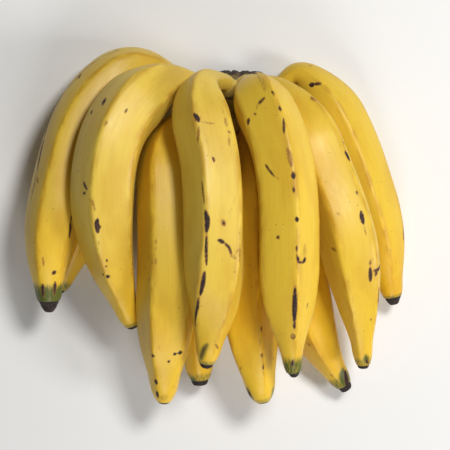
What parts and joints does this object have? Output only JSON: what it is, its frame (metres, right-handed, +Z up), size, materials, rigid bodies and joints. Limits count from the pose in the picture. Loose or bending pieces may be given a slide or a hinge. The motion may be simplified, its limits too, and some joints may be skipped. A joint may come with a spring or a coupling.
{
  "type": "hand of plantains",
  "caption": "Hand of ripe curved plantain fingers in two rows on one crown, lying palm down as picked.",
  "frame": {"origin": "centre of the hand's box on the ground that it lies on", "axes": "+Z up from the ground through the backs of the fingers, +X across the fan of fingers, +Y from the finger tips towards the crown"},
  "size_m": [0.2916, 0.2744, 0.1169],
  "materials": {
    "peel": "satin ripe peel with brown streaks, green near the blackened tips",
    "crown_skin": "dried fibrous cut tissue, green-brown skin"
  },
  "bodies": {
    "root": {"crown": "crown_skin", "finger_outer_1": "peel", "finger_outer_2": "peel", "finger_outer_3": "peel", "finger_outer_4": "peel", "finger_outer_5": "peel", "finger_outer_6": "peel", "finger_inner_1": "peel", "finger_inner_2": "peel", "finger_inner_3": "peel", "finger_inner_4": "peel", "finger_inner_5": "peel"}
  },
  "joints": []
}
